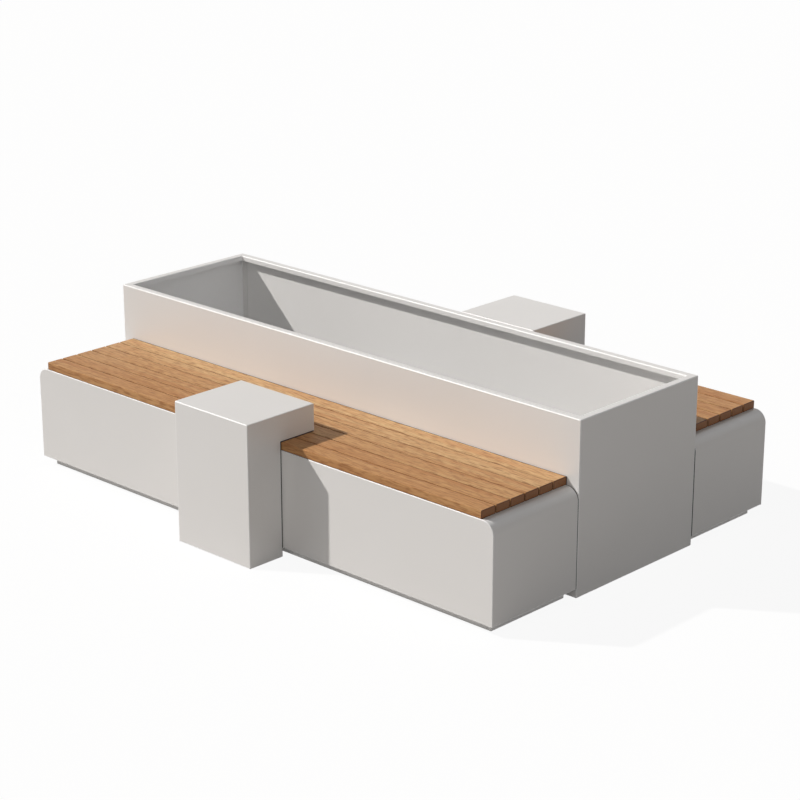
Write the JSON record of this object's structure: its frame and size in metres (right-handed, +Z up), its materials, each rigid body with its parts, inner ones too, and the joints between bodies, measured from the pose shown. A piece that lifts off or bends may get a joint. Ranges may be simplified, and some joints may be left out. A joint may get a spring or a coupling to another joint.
{
  "type": "bench with planter",
  "caption": "Long open planter box of folded steel sheet with a slatted timber bench along each side and a table block astride each bench.",
  "frame": {"origin": "on the ground, under the middle of the planter, at the centre of the footprint", "axes": "+X along the planter and the benches, +Y across them towards the back bench, +Z up"},
  "size_m": [2.5, 1.95, 0.685],
  "materials": {
    "powder_coat": "warm light grey powder coat, fine texture, satin",
    "plinth_coat": "mid grey powder coat, satin",
    "hardwood": "oiled tropical hardwood, planed, eased edges",
    "zinc": "hot-dip galvanised",
    "foot_plastic": "glass-filled nylon"
  },
  "bodies": {
    "assembly": {"back_bench_back": "powder_coat", "back_bench_board_1": "hardwood", "back_bench_board_2": "hardwood", "back_bench_board_3": "hardwood", "back_bench_board_4": "hardwood", "back_bench_board_5": "hardwood", "back_bench_board_6": "hardwood", "back_bench_face": "powder_coat", "back_bench_plinth": "plinth_coat", "back_bench_rail_1": "zinc", "back_bench_rail_2": "zinc", "back_bench_rail_3": "zinc", "back_bench_shell": "powder_coat", "back_link_bolt_1": "zinc", "back_link_bolt_2": "zinc", "back_table_left_side": "powder_coat", "back_table_right_side": "powder_coat", "back_table_step": "powder_coat", "back_table_wrap": "powder_coat", "front_bench_back": "powder_coat", "front_bench_board_1": "hardwood", "front_bench_board_2": "hardwood", "front_bench_board_3": "hardwood", "front_bench_board_4": "hardwood", "front_bench_board_5": "hardwood", "front_bench_board_6": "hardwood", "front_bench_face": "powder_coat", "front_bench_plinth": "plinth_coat", "front_bench_rail_1": "zinc", "front_bench_rail_2": "zinc", "front_bench_rail_3": "zinc", "front_bench_shell": "powder_coat", "front_link_bolt_1": "zinc", "front_link_bolt_2": "zinc", "front_table_left_side": "powder_coat", "front_table_right_side": "powder_coat", "front_table_step": "powder_coat", "front_table_wrap": "powder_coat", "planter_back_panel": "powder_coat", "planter_bearer_1": "zinc", "planter_bearer_2": "zinc", "planter_bearer_3": "zinc", "planter_floor": "zinc", "planter_front_panel": "powder_coat", "planter_left_panel": "powder_coat", "planter_right_panel": "powder_coat", "planter_tie_1": "zinc", "planter_tie_2": "zinc"},
    "back_bench_leveller_1": {"back_bench_foot_1": "foot_plastic"},
    "back_bench_leveller_2": {"back_bench_foot_2": "foot_plastic"},
    "back_bench_leveller_3": {"back_bench_foot_3": "foot_plastic"},
    "back_bench_leveller_4": {"back_bench_foot_4": "foot_plastic"},
    "front_bench_leveller_1": {"front_bench_foot_1": "foot_plastic"},
    "front_bench_leveller_2": {"front_bench_foot_2": "foot_plastic"},
    "front_bench_leveller_3": {"front_bench_foot_3": "foot_plastic"},
    "front_bench_leveller_4": {"front_bench_foot_4": "foot_plastic"},
    "planter_leveller_1": {"planter_foot_1": "foot_plastic"},
    "planter_leveller_2": {"planter_foot_2": "foot_plastic"},
    "planter_leveller_3": {"planter_foot_3": "foot_plastic"},
    "planter_leveller_4": {"planter_foot_4": "foot_plastic"}
  },
  "joints": [
    {"name": "back_bench_screw_1", "type": "slide", "parent": "assembly", "child": "back_bench_leveller_1", "axis": [0, 0, -1], "range_m": [0, 0.015]},
    {"name": "back_bench_screw_2", "type": "slide", "parent": "assembly", "child": "back_bench_leveller_2", "axis": [0, 0, -1], "range_m": [0, 0.015]},
    {"name": "back_bench_screw_3", "type": "slide", "parent": "assembly", "child": "back_bench_leveller_3", "axis": [0, 0, -1], "range_m": [0, 0.015]},
    {"name": "back_bench_screw_4", "type": "slide", "parent": "assembly", "child": "back_bench_leveller_4", "axis": [0, 0, -1], "range_m": [0, 0.015]},
    {"name": "front_bench_screw_1", "type": "slide", "parent": "assembly", "child": "front_bench_leveller_1", "axis": [0, 0, -1], "range_m": [0, 0.015]},
    {"name": "front_bench_screw_2", "type": "slide", "parent": "assembly", "child": "front_bench_leveller_2", "axis": [0, 0, -1], "range_m": [0, 0.015]},
    {"name": "front_bench_screw_3", "type": "slide", "parent": "assembly", "child": "front_bench_leveller_3", "axis": [0, 0, -1], "range_m": [0, 0.015]},
    {"name": "front_bench_screw_4", "type": "slide", "parent": "assembly", "child": "front_bench_leveller_4", "axis": [0, 0, -1], "range_m": [0, 0.015]},
    {"name": "planter_screw_1", "type": "slide", "parent": "assembly", "child": "planter_leveller_1", "axis": [0, 0, -1], "range_m": [0, 0.015]},
    {"name": "planter_screw_2", "type": "slide", "parent": "assembly", "child": "planter_leveller_2", "axis": [0, 0, -1], "range_m": [0, 0.015]},
    {"name": "planter_screw_3", "type": "slide", "parent": "assembly", "child": "planter_leveller_3", "axis": [0, 0, -1], "range_m": [0, 0.015]},
    {"name": "planter_screw_4", "type": "slide", "parent": "assembly", "child": "planter_leveller_4", "axis": [0, 0, -1], "range_m": [0, 0.015]}
  ]
}
